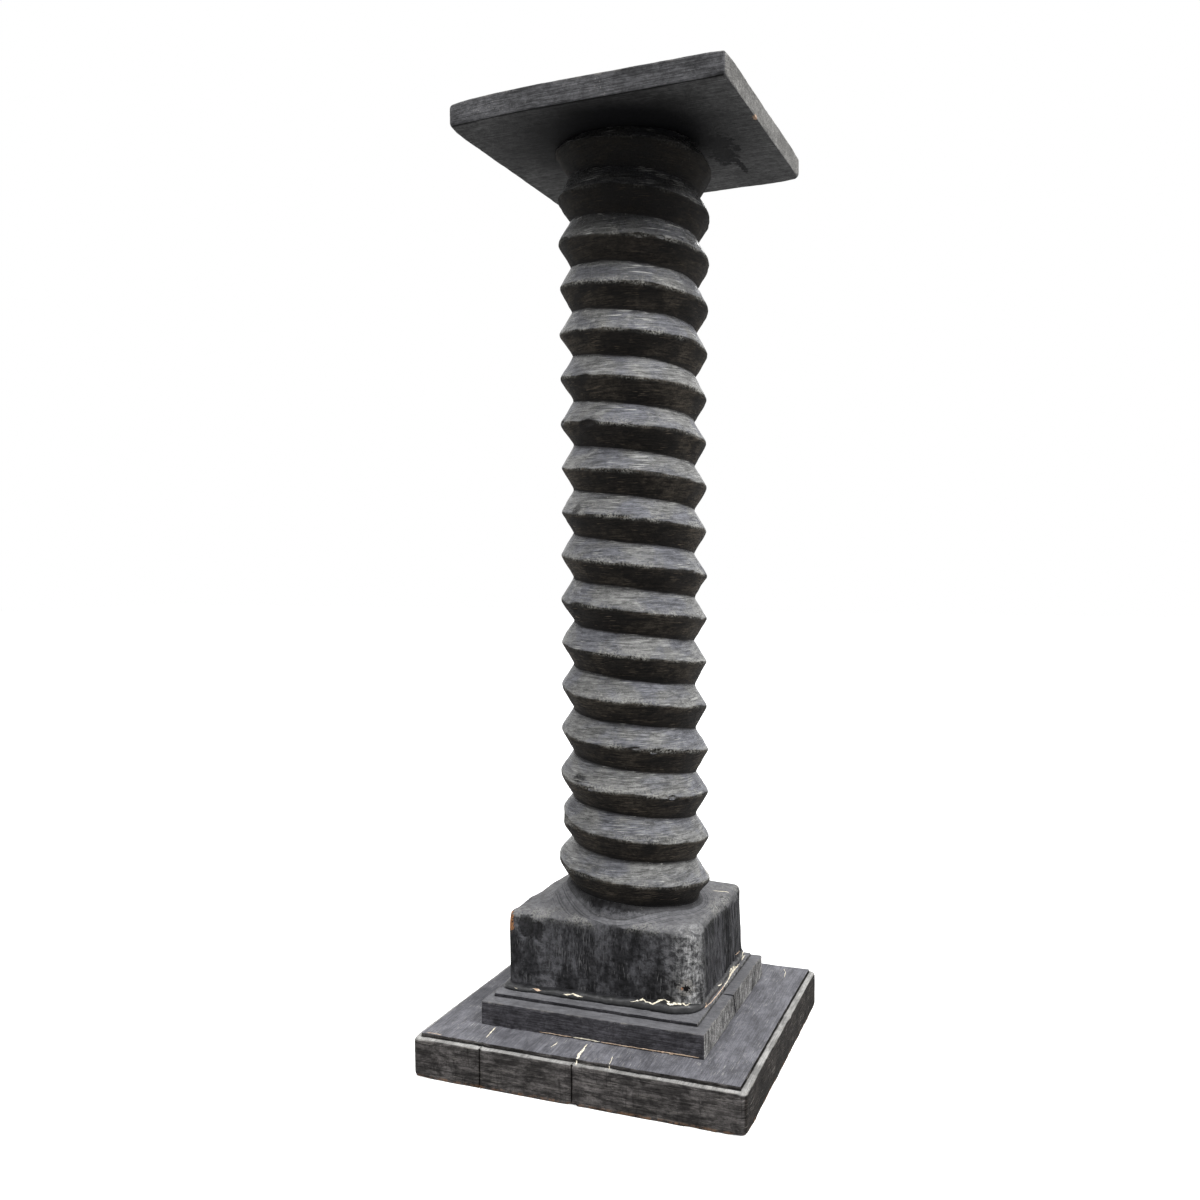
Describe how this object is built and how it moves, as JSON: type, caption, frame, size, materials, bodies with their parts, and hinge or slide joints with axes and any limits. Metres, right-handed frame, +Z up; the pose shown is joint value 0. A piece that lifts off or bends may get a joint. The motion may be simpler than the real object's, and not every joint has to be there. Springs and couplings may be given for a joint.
{
  "type": "pedestal column stand",
  "caption": "Pedestal stand made from a large black wooden press screw, with a square top board and a stepped square foot.",
  "frame": {"origin": "centre of the underside of the base, on the floor", "axes": "+Z up along the screw, -Y towards the front edge with the two base seams, +X to the right of that front"},
  "size_m": [0.383, 0.364, 1.07],
  "materials": {
    "ebonised_trunk": "hand-carved wood, worn black paint, satin",
    "ebonised_board": "planed wood, worn black paint, satin",
    "painted_filler": "wood filler painted black, cracked",
    "bare_filler": "cream wood filler",
    "bare_wood": "unfinished beech",
    "steel": "plain steel"
  },
  "bodies": {
    "root": {"screw_column": "ebonised_trunk", "top_board": "ebonised_board", "plinth_front_board": "ebonised_board", "plinth_back_board": "ebonised_board", "base_left_board": "ebonised_board", "base_middle_board": "ebonised_board", "base_right_board": "ebonised_board", "foot_filler": "painted_filler", "base_seam_filler": "bare_filler", "base_tongues": "bare_wood", "plinth_tongues": "bare_wood", "plinth_screws": "steel", "column_lag_screws": "steel", "column_washers": "steel", "top_screws": "steel", "top_plugs": "ebonised_board"}
  },
  "joints": []
}
